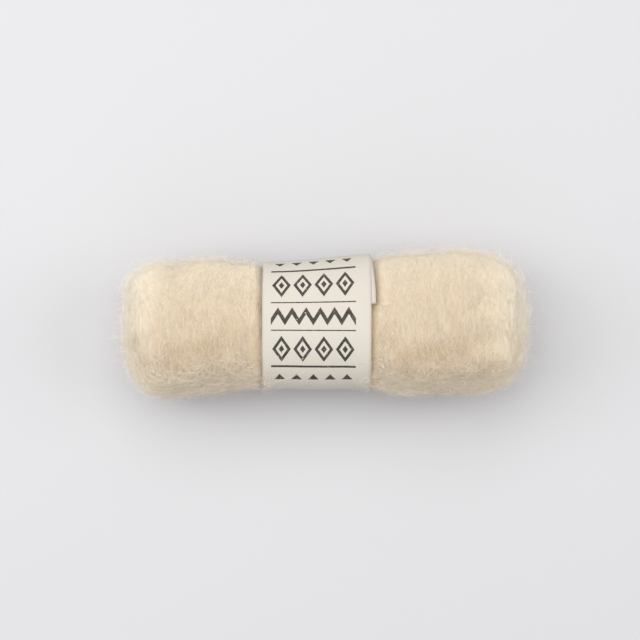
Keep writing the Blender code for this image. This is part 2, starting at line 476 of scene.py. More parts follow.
    def scatter(self, rng, count, weights):
        """Rows and columns, spread evenly and as dense on the surface as the weights say."""
        reached = np.cumsum((self.cell * weights).ravel())
        picks = (np.arange(count) + rng.random(count)) / count * reached[-1]
        cells = np.minimum(np.searchsorted(reached, picks), reached.size - 1)
        row, column = np.divmod(cells, self.columns)
        return row + rng.uniform(-0.5, 0.5, count), column + rng.uniform(-0.5, 0.5, count)

    def angles(self):
        """Each place's angle from +Y over the crown."""
        return np.arctan2(
            self.points[..., 2] - self.middle_z, self.points[..., 1] - self.middle_y
        )


@functools.cache
def roll_skin():
    return Skin(ROLL_NODE)


# Angles past the crown towards +Y: where the strip starts, where its outer end comes to, where
# it has risen from under that end, and how far round its covered part stands out at +X.
COVERED_START = math.radians(18.5)
COVERED_END = math.radians(93.5)
RISEN = math.radians(122.5)
SKEW_RUN = math.radians(75)
COVERED_SKEW = 2.2 * MM
FULL_TURN = 2 * math.pi


def covered_skew(past_start):
    """How far the strip's covered end stands out, by the angle past the strip's start."""
    return COVERED_SKEW * (1 - rise(0, SKEW_RUN, past_start))


def band_edges(places):
    """The x of the band's edges beside each place."""
    low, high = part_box(BAND_NODE)
    middle = (low + high) / 2
    turn = np.arctan2(places[..., 1] - middle.y, places[..., 2] - middle.z) % FULL_TURN
    skew = np.where(turn > COVERED_START, covered_skew(turn - COVERED_START), 0.0)
    return low.x, low.x + bpy.context.scene.batt.band.width + skew


def band_reach(places):
    """How far inside the band's edges a place is, below 0 outside them."""
    left, right = band_edges(places)
    return np.minimum(places[..., 0] - left, right - places[..., 0])


# ------------------------------------------------------------------ fibres

STEPS_ROUND = 12  # the fewest in which a fibre may go once round the roll
NEVER_ZERO = 1e-18
TUBE_SIDES = 3
TAPER = 0.5  # below 1, a fibre is thin only near its tips


def crawl(skin, start, heading, length, curl, points):
    """Paths over the skin. Returns their places, normals and sideways directions."""
    row, column = start
    step = length / (points - 1)
    places, normals, sides = [], [], []
    for _ in range(points):
        along = skin.read(skin.along, row, column)
        around = skin.read(skin.around, row, column)
        normal = unit(skin.read(skin.normals, row, column))
        ahead = unit(along - normal * (along * normal).sum(1, keepdims=True))
        across = np.cross(normal, ahead)
        way = np.cos(heading)[:, None] * ahead + np.sin(heading)[:, None] * across
        places.append(skin.read(skin.points, row, column))
        normals.append(normal)
        sides.append(np.cross(normal, way))
        row, column = moved_on(skin, row, column, along, around, way * step[:, None])
        heading = heading + curl * step
    return [np.stack(part, 1) for part in (places, normals, sides)]


def moved_on(skin, row, column, along, around, move):
    """The rows and columns after a move over the surface."""
    aa, ab, bb = [(p * q).sum(1) for p, q in ((along, along), (along, around), (around, around))]
    am, bm = (along * move).sum(1), (around * move).sum(1)
    spread = np.maximum(aa * bb - ab * ab, NEVER_ZERO)
    rows = (am * bb - bm * ab) / spread
    columns = (bm * aa - am * ab) / spread
    most = skin.columns / STEPS_ROUND
    return np.clip(row + rows, 0, skin.rows - 1), column + np.clip(columns, -most, most)


def tube_faces(points, sides):
    """The triangles of one closed, tapering tube: a tip, rings of sides, and a tip."""
    rings = points - 2
    last = 1 + rings * sides
    faces = []
    for j in range(sides):
        k = (j + 1) % sides
        faces.append((0, 1 + k, 1 + j))
        for ring in range(rings - 1):
            near, far = 1 + ring * sides, 1 + (ring + 1) * sides
            faces.append((near + j, near + k, far + k))
            faces.append((near + j, far + k, far + j))
        final = last - sides
        faces.append((final + j, final + k, last))
    return np.array(faces)


def joined_tubes(name, places, normals, width, tint):
    """One mesh of all the fibres. Each is thickest at its middle and closed at its tips."""
    count, points = places.shape[:2]
    tangents = unit(np.gradient(places, axis=1))
    first = unit(np.cross(tangents, normals))
    second = np.cross(tangents, first)
    share = np.linspace(0, 1, points)
    radius = (width[:, None] / 2 * np.sin(np.pi * share) ** TAPER)[..., None]
    blocks = [places[:, :1]]
    for ring in range(1, points - 1):
        for j in range(TUBE_SIDES):
            angle = 2 * math.pi * j / TUBE_SIDES
            out = math.cos(angle) * first[:, ring] + math.sin(angle) * second[:, ring]
            blocks.append((places[:, ring] + out * radius[:, ring])[:, None])
    blocks.append(places[:, -1:])
    vertices = np.concatenate(blocks, 1)
    per_fibre = vertices.shape[1]
    template = tube_faces(points, TUBE_SIDES)
    faces = template[None] + np.arange(count)[:, None, None] * per_fibre
    return mesh_object(name, vertices.reshape(-1, 3), faces.reshape(-1, 3), tint.repeat(per_fibre))


def mesh_object(name, vertices, triangles, tint):
    """An object made of arrays, smooth-shaded, with each vertex's tint."""
    mesh = bpy.data.meshes.new(name)
    mesh.vertices.add(len(vertices))
    mesh.vertices.foreach_set("co", vertices.astype(np.float32).ravel())
    mesh.loops.add(triangles.size)
    mesh.loops.foreach_set("vertex_index", triangles.astype(np.int32).ravel())
    mesh.polygons.add(len(triangles))
    mesh.polygons.foreach_set("loop_start", np.arange(0, triangles.size, 3, dtype=np.int32))
    mesh.update(calc_edges=True)
    mesh.shade_smooth()
    set_attribute(mesh, "tint", tint)
    made = bpy.data.objects.new(name, mesh)
    bpy.context.scene.collection.objects.link(made)
    return made


# How fibres end at the band: most fold back a little outside its edge, and the rest lift over it.
FOLD_BACK = 0.12  # of how far a fibre would have gone under
OVERHANG_START = -0.4 * MM
OVERHANG_LIFT = 2.0 * MM
FIBRE_LEAST_HEIGHT = 0.05 * MM  # over the surface that the roll lies on


def kept_off_band(places, normals, overhang):
    """Moves fibres out of the band: most stop at its edge, and a few lie over it."""
    x = places[..., 0]
    left, right = band_edges(places)
    inside = np.minimum(x - left, right - x)
    stops = (inside > 0) & ~overhang[:, None]
    edge = np.where(x - left < right - x, left, right)
    outwards = np.where(x - left < right - x, -1.0, 1.0)
    places[..., 0] = np.where(stops, edge + outwards * inside * FOLD_BACK, x)
    over = (inside > OVERHANG_START) & overhang[:, None]
    lift = np.where(over, OVERHANG_LIFT, 0.0)[..., None]
    return places + normals * lift


def on_the_floor(places, width):
    """Keeps every fibre above the surface that the roll lies on."""
    places[..., 2] = np.maximum(places[..., 2], width[:, None] / 2 + FIBRE_LEAST_HEIGHT)
    return places


# How the fibres' tints change over the roll: 0 is tan, a half is cream and 1 is pale. Angles are
# from +Y over the crown. The first bump is the dark stretch by the lap, painted shade on the lower
# flank with some real tan wool in it. The second is painted light on the shaded lower edge past
# the lap, and the third is painted light on the side that faces +Y.
TINT_SPREAD = {"all": 0.02, "by_lap": 0.12}
# Tan fibres are darker wool; their larger share by the lap also stands in for painted shade in the
# hollows there.
TAN_FIBRES = {"all": 0.005, "by_lap": 0.065, "palest": 0.3}  # shares of them, and the palest that they may be
TINT_AND_PAINTED_LIGHT_BUMPS = (
    {"angle": math.radians(125), "reach": math.radians(23), "change": -0.24},
    {"angle": math.radians(165), "reach": math.radians(20), "change": 0.20},
    {"angle": math.radians(5), "reach": math.radians(32), "change": 0.34},
)
# Painted shade in the crease where the wool meets the band's edges.
BAND_EDGE_SHADE = -0.28
BAND_EDGE_SHADE_SPAN = (-2.5 * MM, 0.0)  # beside the band
# Painted light: the wool is made paler towards the roll's ends.
END_PAINTED_LIGHT = 0.45
END_MARGIN = 3 * MM  # from an end of the roll, where that painted light is still whole
CORE_PAINTED_SHADE = -0.24  # painted shade: the core between the fibres of its nap is darkened
PATCHES = {"waves": 14, "size": 13 * MM, "change": 0.015, "by_lap": 0.11}
# Painted shade in small pits, over all the wool and most by the lap.
PIT_SHADE = {"waves": 41, "size": 2.6 * MM, "least": 1.45, "change": -0.30, "all": 0.12}


def wool_tints_and_painted_light(places):
    """The wool's tints at each place, painted light and shade included, and how near that is to
    the lap.
    """
    skin = roll_skin()
    angle = np.arctan2(places[:, 2] - skin.middle_z, places[:, 1] - skin.middle_y)
    near = [np.exp(-(((angle - bump["angle"]) / bump["reach"]) ** 2)) for bump in TINT_AND_PAINTED_LIGHT_BUMPS]
    # The bumps round the roll: painted shade by the lap, and painted light on the lower edge
    # towards -Y and on the side facing +Y.
    tint = 0.5 + sum(bump["change"] * share for bump, share in zip(TINT_AND_PAINTED_LIGHT_BUMPS, near))
    # Painted shade in the crease beside the band.
    tint += BAND_EDGE_SHADE * rise(*BAND_EDGE_SHADE_SPAN, band_reach(places))
    from_end = np.minimum(places[:, 0] - skin.low.x, skin.high.x - places[:, 0])
    # Painted light towards the ends.
    tint += END_PAINTED_LIGHT * (1 - rise(END_MARGIN, DOME_INSET, from_end))
    patches = waves(PATCHES["waves"], PATCHES["size"], places)
    tint += patches * (PATCHES["change"] + PATCHES["by_lap"] * near[0])
    # Painted shade in the pits.
    shaded_pits = waves(PIT_SHADE["waves"], PIT_SHADE["size"], places) > PIT_SHADE["least"]
    return tint + shaded_pits * PIT_SHADE["change"] * (PIT_SHADE["all"] + near[0]), near[0]


def fibre_tints_and_painted_light(rng, places, change):
    """The tints of the fibres, painted light and shade included, from where their middles lie."""
    tint, by_lap = wool_tints_and_painted_light(places[:, places.shape[1] // 2])
    count = len(places)
    tint += rng.normal(change, TINT_SPREAD["all"] + TINT_SPREAD["by_lap"] * by_lap, count)
    tan = rng.random(count) < TAN_FIBRES["all"] + TAN_FIBRES["by_lap"] * by_lap
    tint[tan] = rng.uniform(0.0, TAN_FIBRES["palest"], tan.sum())
    return np.clip(tint, 0, 1)


def crawled(skin, rng, start, heading, row):
    """The paths over the skin of fibres with the row's lengths and curls."""
    length = rng.uniform(*row["length"], len(heading))
    curl = rng.normal(0, row["curl"], len(heading))
    return crawl(skin, start, heading, length, curl, row["points"])


def raised_fibres(name, rng, path, height, sideways, row):
    """The joined mesh of fibres that leave their paths so far upwards and so far sideways."""
    places, normals, sides = path
    count = len(places)
    gauge = getattr(bpy.context.scene.batt.wool, row["gauge"])
    width = rng.uniform(*row["width"], count) * gauge
    places = places + normals * height[..., None] + sides * sideways[..., None]
    places = kept_off_band(places, normals, rng.random(count) < row["overhang"])
    places = on_the_floor(places, width)
    return joined_tubes(name, places, normals, width, fibre_tints_and_painted_light(rng, places, row["change"]))


def lying_fibres(name, skin, rng, start, row):
    """A joined mesh of fibres that lie in the nap, as the row of settings says."""
    count = len(start[0])
    heading = rng.normal(row["heading"], row["scatter"], count)
    heading += rng.integers(0, 2, count) * math.pi
    path = crawled(skin, rng, start, heading, row)
    share = np.linspace(0, 1, row["points"])[None]
    arch = rng.uniform(*row["height"], count)
    arch += (rng.random(count) < row["loose"]) * rng.uniform(0, LOOSE_RISE, count)
    lofted = 1 - rng.random(count) ** (1 / row["grade"])
    arch += row["loft"] * lofted * skin.haze_at(start)
    arch = arch[:, None]
    tuck = np.maximum(row["tuck"], arch - row["dip"])
    height = tuck + (arch - tuck) * np.sin(np.pi * share) ** ARCH_POWER
    crimp = rng.normal(0, row["crimp"], (count, row["points"]))
    return raised_fibres(name, rng, path, height, crimp, row)


def standing_fibres(name, skin, rng, start, row):
    """A joined mesh of fibres that leave the nap and stand off the roll."""
    count = len(start[0])
    heading = rng.uniform(0, 2 * math.pi, count)
    path = crawled(skin, rng, start, heading, row)
    share = np.linspace(0, 1, row["points"])[None]
    share_out = np.minimum(rng.exponential(row["reach"], count), row["most"])
    reach = (LEAST_REACH + share_out * skin.haze_at(start))[:, None]
    loops = rng.random(count)[:, None] < LOOP_SHARE
    shape = np.where(loops, np.sin(np.pi * share), share**REACH_POWER)
    height = row["tuck"] + (reach - row["tuck"]) * shape
    wander = np.cumsum(rng.normal(0, row["crimp"], (count, row["points"])), axis=1)
    return raised_fibres(name, rng, path, height, wander, row)


# ------------------------------------------------------------------ finishes


# A noise is its scale, about how many of its features fit in a metre, its detail and its
# roughness. The wool's streaks are finer along the roll than round it.
STREAKS = (420.0, 4.0, 0.6)
STREAK_STRETCH = (3.0, 0.6, 0.6)
STREAK_TINT = 0.24
STREAK_BUMP = 0.7
FELT = (1500.0, 3.0, 0.7)
FELT_TINT = 0.14
FELT_BUMP = 0.3
BUMP_STRENGTH = 0.25
WOOL_BUMP = 0.4 * MM


@functools.cache
def wool_finish():
    """Matt carded wool in the tints that its mesh gives, painted light and shade included, in fine
    streaks round the roll.
    """
    wool = bpy.context.scene.batt.wool
    finish = Finish("carded wool")
    streaks = finish.noise(finish.places(STREAK_STRETCH), *STREAKS)
    felt = finish.noise(finish.places(), *FELT)
    change = (streaks - 0.5) * STREAK_TINT
    tint = finish.attribute("tint") + change + (felt - 0.5) * FELT_TINT
    stops = {0.0: tuple(wool.tan), 0.5: tuple(wool.cream), 1.0: tuple(wool.pale)}
    ramp = finish.node("ShaderNodeValToRGB", {"stops": stops}, {"Fac": tint})
    finish.set({"Base Color": ramp, "Roughness": 0.9, "Specular IOR Level": 0.1})
    finish.set({"Sheen Weight": 0.1, "Sheen Roughness": 0.5})
    finish.bump(streaks * STREAK_BUMP + felt * FELT_BUMP, BUMP_STRENGTH, WOOL_BUMP)
    return finish.material


# The darkest loose fibres, and the darkest of those along the lap edge.
LOOSE_DARK = (0.83, 0.735, 0.60)
FRAYED_DARK = (0.78, 0.64, 0.48)


@functools.cache
def loose_finish(name, dark, pale):
    """Single fibres, which let more light past them than the wool that they leave."""
    finish = Finish(name)
    colour = finish.mix(finish.attribute("tint"), dark, pale)
    finish.set({"Base Color": colour, "Roughness": 0.85, "Specular IOR Level": 0.15})
    return finish.material


def haze_finish():
    return loose_finish("loose fibres", LOOSE_DARK, tuple(bpy.context.scene.batt.wool.loose))


def frayed_finish():
    return loose_finish("frayed fibres", FRAYED_DARK, tuple(bpy.context.scene.batt.wool.frayed))


# The printed border, in metres up the strip from the crown and across it from its middle.
PRINT_MIDDLE = -1.6 * MM
PRINT_HALF_WIDTH = 19.5 * MM
WIDE_RULES = (26.5 * MM, -21.5 * MM)
FINE_RULES = (9.0 * MM, -4.0 * MM)
WIDE_RULE = 1.1 * MM
FINE_RULE = 0.55 * MM
LOZENGE_ROWS = (17.8 * MM, -12.8 * MM)
LOZENGE_PITCH = 9.75 * MM
LOZENGE_HALF_WIDTH = 4.3 * MM
LOZENGE_HALF_HEIGHT = 6.2 * MM
LOZENGE_INSIDE = 0.63  # where a lozenge's line ends, as a share of its size
LOZENGE_HEART = 0.3  # the size of the small one inside it
ZIGZAG_PLACE = 2.5 * MM
ZIGZAG_HALF_HEIGHT = 2.6 * MM
ZIGZAG_PITCH = 6.5 * MM
ZIGZAG_STROKE = 1.7 * MM
TRIANGLE_ROWS = {34.5 * MM: -1, -29.5 * MM: 1}
TRIANGLE_PITCH = 7.8 * MM
TRIANGLE_HALF_WIDTH = 2.6 * MM
TRIANGLE_HEIGHT = 3.6 * MM

# The ink's uneven edges and wear, and the palest of the paper.
ROUGH_ACROSS = 0.35 * MM
ROUGH_DOWN = 0.3 * MM
PRINT_DRIFT = 0.3 * MM
WORN_BELOW = 0.33
LEAST_COVERAGE = 0.90
COVERAGE_CHANGE = 0.14
PALE_PAPER = (0.585, 0.55, 0.49)

# The noises of the print and of the paper.
JITTER = (1400.0, 2.0)
DRIFT = (90.0, 2.0)
SPECKS = (1100.0, 3.0, 0.65)
COVERAGE = (260.0, 3.0, 0.6)
PULP = (700.0, 4.0, 0.65)
CLOUD = (45.0, 2.0)
CLOUD_SHARE = 0.5
PULP_SHARE = 0.35
PAPER_ROUGHNESS = 0.72
INK_SMOOTHER_BY = 0.15
PAPER_BUMP = 0.08 * MM


@functools.cache
def band_finish(crown):
    """Matt paper with its border pattern. The strip's crown is at this length along it."""
    band = bpy.context.scene.batt.band
    finish = Finish("printed paper")
    flat = finish.node("ShaderNodeUVMap", {"uv_map": STRIP_MAP})
    own = finish.places()
    jitter = finish.noise(own, *JITTER) - 0.5
    drift = finish.noise(own, *DRIFT) - 0.5
    parts = finish.node("ShaderNodeSeparateXYZ", None, {"Vector": flat})
    across = parts * band.width - (band.width / 2 + PRINT_MIDDLE) + jitter * ROUGH_ACROSS
    down = finish.output_of(parts, 1) * band.length - crown + jitter * ROUGH_DOWN
    ink = printed_border(across + drift * PRINT_DRIFT, down)
    specks = finish.noise(own, *SPECKS) > WORN_BELOW
    coverage = finish.noise(own, *COVERAGE) * COVERAGE_CHANGE + LEAST_COVERAGE
    ink = ink * specks * coverage * finish.attribute("printed")
    pulp = finish.noise(own, *PULP)
    cloud = finish.noise(own, *CLOUD)
    paleness = cloud * CLOUD_SHARE + pulp * PULP_SHARE
    bare = finish.mix(paleness, tuple(band.paper), PALE_PAPER)
    finish.set({"Base Color": finish.mix(ink, bare, tuple(band.ink))})
    finish.set({"Roughness": PAPER_ROUGHNESS - ink * INK_SMOOTHER_BY, "Specular IOR Level": 0.3})
    finish.bump(pulp + cloud * CLOUD_SHARE, BUMP_STRENGTH, PAPER_BUMP)
    return finish.material


def printed_border(across, down):
    """Where the ink is: 1 on rules, lozenges, the zigzag and the small triangles."""
    ink = 0.0
    for places, height in ((WIDE_RULES, WIDE_RULE), (FINE_RULES, FINE_RULE)):
        for place in places:
            ink = (abs(down - place) < height / 2) + ink
    folded = folded_over(across + LOZENGE_PITCH / 2, LOZENGE_PITCH)
    for place in LOZENGE_ROWS:
        spread = folded / LOZENGE_HALF_WIDTH + abs(down - place) / LOZENGE_HALF_HEIGHT
        ink = ink + (spread < 1.0) * (spread > LOZENGE_INSIDE) + (spread < LOZENGE_HEART)
    slope = 4 * ZIGZAG_HALF_HEIGHT / ZIGZAG_PITCH
    wave = folded_over(across, ZIGZAG_PITCH) * slope - ZIGZAG_HALF_HEIGHT
    steepness = math.hypot(1.0, slope)
    ink = ink + (abs(down - ZIGZAG_PLACE - wave) < ZIGZAG_STROKE / 2 * steepness)
    beside = folded_over(across, TRIANGLE_PITCH)
    for place, way in TRIANGLE_ROWS.items():
        up = (down - place) * way / TRIANGLE_HEIGHT
        ink = ink + (up > 0.0) * (up + beside / TRIANGLE_HALF_WIDTH < 1.0)
    return ink * (abs(across) < PRINT_HALF_WIDTH)


def folded_over(across, pitch):
    """The distance to the middle of the nearest repeat."""
    repeats = across / pitch
    whole = repeats.maths("ROUND", repeats)
    return abs(repeats - whole) * pitch


def wear(piece, material):
    """Gives a piece its material and its slot, and lets it ride with the roll."""
    piece.data.materials.clear()
    piece.data.materials.append(material)
    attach(piece, "root")


# ------------------------------------------------------------------ operators


def deselect_all():
    for thing in bpy.context.selected_objects:
        thing.select_set(False)


def apply_modifier(piece, kind, name, **settings):
    """Adds a modifier with its settings and applies it."""
    deselect_all()
    bpy.context.view_layer.objects.active = piece
    piece.select_set(True)
    modifier = piece.modifiers.new(name, kind)
    for setting, value in settings.items():
        setattr(modifier, setting, value)
    bpy.ops.object.modifier_apply(modifier=modifier.name)


class BATT_OT_wind_core(bpy.types.Operator):
    """Winds the soft core of the roll"""

    bl_idname = "batt.wind_core"
    bl_label = "Wind the Core"

    def execute(self, context):
        wool = context.scene.batt.wool
        skin = roll_skin()
        deselect_all()
        bpy.ops.mesh.primitive_uv_sphere_add(
            segments=CORE_COLUMNS, ring_count=CORE_ROWS, radius=1.0
        )
        core = context.active_object
        core.name = core.data.name = "wool_core"
        ball = vertex_places(core.data)
        latitude = np.arcsin(np.clip(ball[:, 2], -1, 1))
        row = (latitude / math.pi + 0.5) * (skin.rows - 1)
        column = np.arctan2(ball[:, 1], ball[:, 0]) / (2 * math.pi) * skin.columns
        places = skin.read(skin.points, row, column)
        normals = unit(skin.read(skin.normals, row, column))
        seat = rise(*SEAT_RISE, band_reach(places))
        depth = wool.depth * (1 - seat) - wool.seat_lift * seat
        places -= normals * depth[:, None]
        places[:, 2] = np.maximum(places[:, 2], CORE_LEAST_HEIGHT)
        core.data.vertices.foreach_set("co", places.ravel())
        core.data.update()
        self.add_tufts(core, places)
        bpy.ops.object.shade_smooth()
        # The core's tints carry painted shade, darker as though shaded by the nap.
        set_attribute(core.data, "tint", np.clip(wool_tints_and_painted_light(places)[0] + CORE_PAINTED_SHADE, 0, 1))
        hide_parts(ROLL_NODE)
        wear(core, wool_finish())
        return {"FINISHED"}

    def add_tufts(self, core, places):
        """Small tufts, which the band presses flat."""
        free = core.vertex_groups.new(name="free")
        weights = 1 - rise(*TUFTS_STOP, band_reach(places))
        for index in np.nonzero(weights > 0)[0]:
            free.add([int(index)], float(weights[index]), "REPLACE")
        clouds = bpy.data.textures.new("tufts", "CLOUDS")
        clouds.noise_scale = TUFT_SIZE
        heights = {"strength": 2 * TUFT_HEIGHT, "mid_level": 0.5, "texture": clouds}
        where = {"texture_coords": "LOCAL", "vertex_group": free.name}
        apply_modifier(core, "DISPLACE", "tufts", **heights, **where)


# The strip's mesh, and the rays that find the face it lies on.
STRIP_MAP = "strip"
STRIP_ACROSS = 34
STRIP_ALONG = 170
MOST_TURNS = 1.3
TURN_STEPS = 1200
COVERED_DEPTH = 0.32 * MM
EDGE_INSET = 0.6 * MM
CAST_COLUMNS = 13
CAST_ROWS = 180
CAST_FROM = 0.1  # metres from the band's middle, which is outside the roll
BEFORE_STEP = 0.02  # radians left out before the step in that face
AFTER_STEP = 0.03

# The paper's slight waves: their lengths across and along it, and their heights.
SLOW_WAVE = (7.3 * MM, 16 * MM, 0.05 * MM)
CROSS_WAVE = (11 * MM, 9.1 * MM, 0.04 * MM)
EDGE_WAVE = (8.7 * MM, 0.14 * MM)
EDGE_FROM_MIDDLE = 25 * MM


class BandFace:
    """The outer face of the frame's band, by the angle past the crown towards +Y."""

    def __init__(self, node):
        tree = node_faces(node)
        low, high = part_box(node)
        self.left = low.x
        self.middle_y = (low.y + high.y) / 2
        self.middle_z = (low.z + high.z) / 2
        width = bpy.context.scene.batt.band.width
        self.columns = np.linspace(low.x + EDGE_INSET, low.x + width - EDGE_INSET, CAST_COLUMNS)
        self.turns = np.linspace(0, FULL_TURN, CAST_ROWS + 1)
        table = np.array([[self.cast(tree, x, turn) for x in self.columns] for turn in self.turns])
        off_step = (self.turns < COVERED_END - BEFORE_STEP) | (self.turns > RISEN + AFTER_STEP)
        for column in range(CAST_COLUMNS):
            kept = table[off_step, column]
            table[:, column] = np.interp(self.turns, self.turns[off_step], kept)
        self.table = table

    def cast(self, tree, x, turn):
        out = Vector((0.0, math.sin(turn), math.cos(turn)))
        centre = Vector((x, self.middle_y, self.middle_z))
        hit = tree.ray_cast(centre + out * CAST_FROM, -out)[0]
        return (hit - centre).length

    def reach(self, x, turn):
        """How far the outer face is from the band's middle."""
        row = (turn % FULL_TURN) / FULL_TURN * CAST_ROWS
        column = np.interp(x, self.columns, np.arange(CAST_COLUMNS))
        r0 = np.minimum(row.astype(int), CAST_ROWS - 1)
        c0 = np.minimum(column.astype(int), CAST_COLUMNS - 2)
        down, over = row - r0, column - c0
        near = self.table[r0, c0] * (1 - over) + self.table[r0, c0 + 1] * over
        far = self.table[r0 + 1, c0] * (1 - over) + self.table[r0 + 1, c0 + 1] * over
        return near * (1 - down) + far * down

    def places(self, x, turn, depth):
        reach = self.reach(x, turn) - depth
        y = self.middle_y + np.sin(turn) * reach
        z = self.middle_z + np.cos(turn) * reach
        return np.stack([x, y, z], -1)


def covered_depth(turn):
    """How far the strip lies under its own outer end."""
    return COVERED_DEPTH * (1 - rise(COVERED_END, RISEN, turn))


def strip_turns(face, lengths):
    """The angle past the crown at each length along the strip."""
    turns = np.linspace(COVERED_START, COVERED_START + MOST_TURNS * FULL_TURN, TURN_STEPS)
    middle = np.full(turns.shape, float(np.mean(face.columns)))
    path = face.places(middle, turns, covered_depth(turns))
    steps = np.linalg.norm(np.diff(path, axis=0), axis=1)
    return np.interp(lengths, np.concatenate([[0.0], np.cumsum(steps)]), turns)


def cockle(across, lengths):
    """The paper's slight waves, in metres. Its edges wave the most."""
    edge = (abs(across) / EDGE_FROM_MIDDLE) ** 3
    slow_across, slow_along, slow_height = SLOW_WAVE
    slow = np.sin(across / slow_across + lengths / slow_along) * slow_height
    cross_across, cross_along, cross_height = CROSS_WAVE
    cross = np.sin(across / cross_across - lengths / cross_along + 1.0) * cross_height
    edge_along, edge_height = EDGE_WAVE
    rim = (0.5 + 0.5 * np.sin(lengths / edge_along + np.sign(across))) * edge_height
    return slow + cross + edge * rim


class BATT_OT_wrap_band(bpy.types.Operator):
    """Wraps the printed strip of paper round the roll and over its own end"""

    bl_idname = "batt.wrap_band"
    bl_label = "Wrap the Band"

    def execute(self, context):
        band = context.scene.batt.band
        face = BandFace(BAND_NODE)
        deselect_all()
        bpy.ops.mesh.primitive_grid_add(
            x_subdivisions=STRIP_ACROSS, y_subdivisions=STRIP_ALONG, size=1.0
        )
        strip = context.active_object
        strip.name = strip.data.name = "printed_band"
        mesh = strip.data
        mesh.uv_layers[0].name = STRIP_MAP
        flat = vertex_places(mesh)
        across = flat[:, 0] * band.width
        lengths = (flat[:, 1] + 0.5) * band.length
        turns = strip_turns(face, lengths)
        x = face.left + band.width / 2 + across + covered_skew(turns - COVERED_START)
        places = face.places(x, turns, covered_depth(turns) - cockle(across, lengths))
        mesh.vertices.foreach_set("co", places.ravel())
        outer = len(mesh.vertices)
        apply_modifier(
            strip, "SOLIDIFY", "paper", thickness=band.thickness, offset=-1.0, use_even_offset=True
        )
        set_attribute(mesh, "printed", np.arange(len(mesh.vertices)) < outer)
        mesh.shade_smooth()
        crown = float(np.interp(FULL_TURN, *zip(*sorted(zip(turns, lengths)))))
        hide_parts(BAND_NODE)
        wear(strip, band_finish(crown))
        return {"FINISHED"}


# The kinds of fibres. ANY holds what most of them share. The keys are:
#   points: how many there are along a fibre
#   heading, scatter: its direction on the skin from the roll's length, and the spread of that
#   length, curl: its length, and the spread of its turning in radians for each metre
#   height: how far the middle of a lying fibre is over the skin
#   tuck, dip: how high its ends are, and the most that its middle is above them
#   loose: the share that rise up to LOOSE_RISE further
#   loft, grade: how far up the haze it may lie, and how strongly such fibres keep low
#   reach, most: how far a standing fibre goes, in depths of the haze: the mean and the most
#   crimp: the spread of its wander to the side
#   gauge, width: the setting for its thickness, and the least and most of that
#   change: how far the mean of its tints moves; the nap's paler move is painted light
#   overhang: the share that may lie over the band
ANY = {
    "points": 4,
    "length": (5 * MM, 15 * MM),
    "curl": 110.0,
    "tuck": -0.3 * MM,
    "loose": 0.0,
    "loft": 0.0,
    "grade": 1.0,
    "crimp": 0.3 * MM,
    "gauge": "stray_width",
    "change": 0.1,
    "overhang": 0.0,
}

NAP = ANY | {
    "heading": ROUND_THE_ROLL,
    "scatter": math.radians(22),
    "length": (4 * MM, 12 * MM),
    "curl": 45.0,
    "height": (0.0 * MM, 0.10 * MM),
    "tuck": -0.35 * MM,
    "dip": 0.8 * MM,
    "loose": 0.06,
    "crimp": 0.18 * MM,
    "gauge": "fibre_width",
    "width": (0.6, 1.3),
    # Painted light: the nap is paler, set against the shade that its own fibres cast.
    "change": 0.22,
    "overhang": 0.01,
}

FRINGE = ANY | {
    "points": 5,
    "heading": 0.0,
    "scatter": math.radians(38),
    "height": (0.2 * MM, 1.9 * MM),
    "dip": 1.5 * MM,
    "loose": 0.3,
    "gauge": "fibre_width",
    "width": (0.6, 2.0),
    "change": 0.45,
    "overhang": 0.06,
}

LOFT = ANY | {
    "heading": ROUND_THE_ROLL,
    "scatter": math.radians(30),
    "length": (5 * MM, 13 * MM),
    "curl": 50.0,
    "height": (0.0 * MM, 0.2 * MM),
    "dip": 1.0 * MM,
    "loft": 1.1,
    "grade": 1.6,
    "width": (0.75, 1.4),
}

STRAYS = ANY | {"reach": 0.85, "most": 2.2, "width": (0.7, 1.3), "overhang": 0.012}

CURLS = ANY | {
    "points": 13,
    "length": (12 * MM, 26 * MM),
    "curl": 330.0,
    "reach": 0.9,
    "most": 2.0,
    "tuck": 0.1 * MM,
    "crimp": 0.12 * MM,
    "width": (1.5, 2.8),
    "change": 0.4,
    "overhang": 0.25,
}

LOOSE_RISE = 0.9 * MM
LEAST_REACH = 0.3 * MM
LOOP_SHARE = 0.45  # of the standing fibres, which come back to the wool
ARCH_POWER = 0.7  # below 1, an arch is steep at its ends and flat on top
REACH_POWER = 1.3  # above 1, a standing fibre leaves the wool slowly

NAP_PIECES = ("nap_left", "nap_middle", "nap_right")
NAP_COUNT = 9000  # fibres in each piece
FRINGE_COUNT = 5500
HAZE_PIECES = ("haze_left", "haze_middle", "haze_right")
LOFT_COUNT = 10800  # fibres in each piece
STRAY_COUNT = 5200
CURL_COUNT = 260
UNDERSIDE_SHARE = 0.4  # how dense the fibres are where the roll lies on them
UNDERSIDE = (-0.7, -0.95)  # sines of the angles between which that comes in

# Where each kind of fibre comes to an end beside the band.
NAP_STOP = (-0.6 * MM, 0.2 * MM)
FRINGE_STOP = (-1.5 * MM, 0.0)
HAZE_STOP = (-2 * MM, -0.5 * MM)
STRAYS_STOP = (-1 * MM, 0.0)

# The fringe's middle past the lap edge and its reach, in radians, and how its line wavers.
FRAY_PAST_LAP = 0.28
FRAY_REACH = 0.31
RAGGED = {"waves": 11, "size": 24 * MM, "change": 0.10}

END_STRAYS = 2.0  # how dense the strays are on the domes, against the rest

# The curls come out low on the near side, close beside the band.
CURL_ANGLE = math.radians(158)
CURL_REACH = math.radians(13)
CURLS_BY_BAND = (-8 * MM, -1 * MM)


